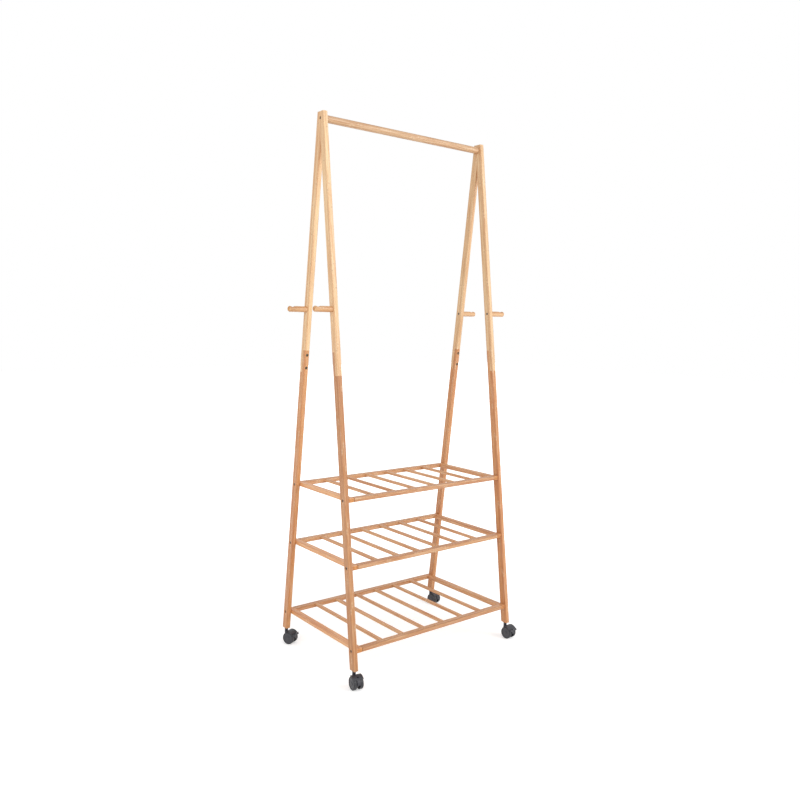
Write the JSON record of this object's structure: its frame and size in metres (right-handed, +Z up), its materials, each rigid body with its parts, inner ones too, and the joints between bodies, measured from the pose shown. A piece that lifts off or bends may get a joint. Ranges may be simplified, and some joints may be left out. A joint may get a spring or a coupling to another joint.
{
  "type": "rolling clothes rack",
  "caption": "Bamboo clothes rack on swivel casters: A-shaped leg frames joined by a round hanging rail, with side pegs and open slatted shelves below.",
  "frame": {"origin": "on the floor, under the middle of the hanging rail", "axes": "+X along the hanging rail, +Y to the back, +Z up"},
  "size_m": [0.776, 0.4533, 1.685],
  "materials": {
    "bamboo_upper_frame": "lacquered bamboo, satin",
    "bamboo_rail": "turned bamboo, satin",
    "bamboo_peg": "turned bamboo, satin",
    "bamboo_lower_frame": "lacquered bamboo, satin",
    "bamboo_slat": "planed bamboo, satin",
    "bamboo_shelf_rail": "planed bamboo, satin",
    "beech_dowel": "plain beech",
    "black_nylon_housing": "moulded nylon, fine grain",
    "black_nylon_wheel": "moulded nylon, smooth tread",
    "zinc_bolt": "zinc plated",
    "zinc_screw": "zinc plated",
    "zinc_insert": "zinc plated",
    "stem_steel": "zinc plated",
    "axle_steel": "bright drawn"
  },
  "bodies": {
    "frame": {"bottom_shelf_back_rail": "bamboo_shelf_rail", "bottom_shelf_front_rail": "bamboo_shelf_rail", "bottom_shelf_left_rail": "bamboo_shelf_rail", "bottom_shelf_right_rail": "bamboo_shelf_rail", "bottom_shelf_slats": "bamboo_slat", "caster_stem_inserts": "zinc_insert", "caster_stems": "stem_steel", "hanging_rail": "bamboo_rail", "lower_leg_left_back": "bamboo_lower_frame", "lower_leg_left_front": "bamboo_lower_frame", "lower_leg_right_back": "bamboo_lower_frame", "lower_leg_right_front": "bamboo_lower_frame", "middle_shelf_back_rail": "bamboo_shelf_rail", "middle_shelf_front_rail": "bamboo_shelf_rail", "middle_shelf_left_rail": "bamboo_shelf_rail", "middle_shelf_right_rail": "bamboo_shelf_rail", "middle_shelf_slats": "bamboo_slat", "mitre_dowels": "beech_dowel", "peg_screws": "zinc_screw", "rail_screws": "zinc_screw", "shelf_corner_dowels": "beech_dowel", "shelf_inserts": "zinc_insert", "shelf_screws": "zinc_screw", "side_peg_left_back": "bamboo_peg", "side_peg_left_front": "bamboo_peg", "side_peg_right_back": "bamboo_peg", "side_peg_right_front": "bamboo_peg", "splice_bolts": "zinc_bolt", "splice_inserts": "zinc_insert", "top_shelf_back_rail": "bamboo_shelf_rail", "top_shelf_front_rail": "bamboo_shelf_rail", "top_shelf_left_rail": "bamboo_shelf_rail", "top_shelf_right_rail": "bamboo_shelf_rail", "top_shelf_slats": "bamboo_slat", "upper_leg_left_back": "bamboo_upper_frame", "upper_leg_left_front": "bamboo_upper_frame", "upper_leg_right_back": "bamboo_upper_frame", "upper_leg_right_front": "bamboo_upper_frame"},
    "caster_left_back_swivel": {"caster_left_back_hood": "black_nylon_housing", "caster_left_back_axle": "axle_steel"},
    "caster_left_back_wheel_1": {"caster_left_back_wheel_1": "black_nylon_wheel"},
    "caster_left_back_wheel_2": {"caster_left_back_wheel_2": "black_nylon_wheel"},
    "caster_left_back_brake_lever": {"caster_left_back_brake_lever": "black_nylon_housing"},
    "caster_left_front_swivel": {"caster_left_front_hood": "black_nylon_housing", "caster_left_front_axle": "axle_steel"},
    "caster_left_front_wheel_1": {"caster_left_front_wheel_1": "black_nylon_wheel"},
    "caster_left_front_wheel_2": {"caster_left_front_wheel_2": "black_nylon_wheel"},
    "caster_right_back_swivel": {"caster_right_back_hood": "black_nylon_housing", "caster_right_back_axle": "axle_steel"},
    "caster_right_back_wheel_1": {"caster_right_back_wheel_1": "black_nylon_wheel"},
    "caster_right_back_wheel_2": {"caster_right_back_wheel_2": "black_nylon_wheel"},
    "caster_right_front_swivel": {"caster_right_front_hood": "black_nylon_housing", "caster_right_front_axle": "axle_steel"},
    "caster_right_front_wheel_1": {"caster_right_front_wheel_1": "black_nylon_wheel"},
    "caster_right_front_wheel_2": {"caster_right_front_wheel_2": "black_nylon_wheel"},
    "caster_right_front_brake_lever": {"caster_right_front_brake_lever": "black_nylon_housing"}
  },
  "joints": [
    {"name": "caster_left_back_swivel_turn", "type": "hinge", "parent": "frame", "child": "caster_left_back_swivel", "pos_m": [-0.3175, 0.19825, 0.046], "axis": [0, 0, 1], "continuous": true},
    {"name": "caster_left_back_wheel_1_roll", "type": "hinge", "parent": "caster_left_back_swivel", "child": "caster_left_back_wheel_1", "pos_m": [-0.31074, 0.18375, 0.02], "axis": [0.9063, 0.4226, 0], "continuous": true},
    {"name": "caster_left_back_wheel_2_roll", "type": "hinge", "parent": "caster_left_back_swivel", "child": "caster_left_back_wheel_2", "pos_m": [-0.31074, 0.18375, 0.02], "axis": [0.9063, 0.4226, 0], "continuous": true},
    {"name": "caster_left_back_brake_press", "type": "hinge", "parent": "caster_left_back_swivel", "child": "caster_left_back_brake_lever", "pos_m": [-0.30188, 0.16476, 0.0321], "axis": [0.9063, 0.4226, 0], "range_deg": [0, 30]},
    {"name": "caster_left_front_swivel_turn", "type": "hinge", "parent": "frame", "child": "caster_left_front_swivel", "pos_m": [-0.3175, -0.19825, 0.046], "axis": [0, 0, 1], "continuous": true},
    {"name": "caster_left_front_wheel_1_roll", "type": "hinge", "parent": "caster_left_front_swivel", "child": "caster_left_front_wheel_1", "pos_m": [-0.32028, -0.21401, 0.02], "axis": [0.9848, -0.1736, 0], "continuous": true},
    {"name": "caster_left_front_wheel_2_roll", "type": "hinge", "parent": "caster_left_front_swivel", "child": "caster_left_front_wheel_2", "pos_m": [-0.32028, -0.21401, 0.02], "axis": [0.9848, -0.1736, 0], "continuous": true},
    {"name": "caster_right_back_swivel_turn", "type": "hinge", "parent": "frame", "child": "caster_right_back_swivel", "pos_m": [0.3175, 0.19825, 0.046], "axis": [0, 0, 1], "continuous": true},
    {"name": "caster_right_back_wheel_1_roll", "type": "hinge", "parent": "caster_right_back_swivel", "child": "caster_right_back_wheel_1", "pos_m": [0.32083, 0.1826, 0.02], "axis": [0.9781, 0.2079, 0], "continuous": true},
    {"name": "caster_right_back_wheel_2_roll", "type": "hinge", "parent": "caster_right_back_swivel", "child": "caster_right_back_wheel_2", "pos_m": [0.32083, 0.1826, 0.02], "axis": [0.9781, 0.2079, 0], "continuous": true},
    {"name": "caster_right_front_swivel_turn", "type": "hinge", "parent": "frame", "child": "caster_right_front_swivel", "pos_m": [0.3175, -0.19825, 0.046], "axis": [0, 0, 1], "continuous": true},
    {"name": "caster_right_front_wheel_1_roll", "type": "hinge", "parent": "caster_right_front_swivel", "child": "caster_right_front_wheel_1", "pos_m": [0.31834, -0.21423, 0.02], "axis": [0.9986, 0.0523, 0], "continuous": true},
    {"name": "caster_right_front_wheel_2_roll", "type": "hinge", "parent": "caster_right_front_swivel", "child": "caster_right_front_wheel_2", "pos_m": [0.31834, -0.21423, 0.02], "axis": [0.9986, 0.0523, 0], "continuous": true},
    {"name": "caster_right_front_brake_press", "type": "hinge", "parent": "caster_right_front_swivel", "child": "caster_right_front_brake_lever", "pos_m": [0.31943, -0.23516, 0.0321], "axis": [0.9986, 0.0523, 0], "range_deg": [0, 30]}
  ]
}
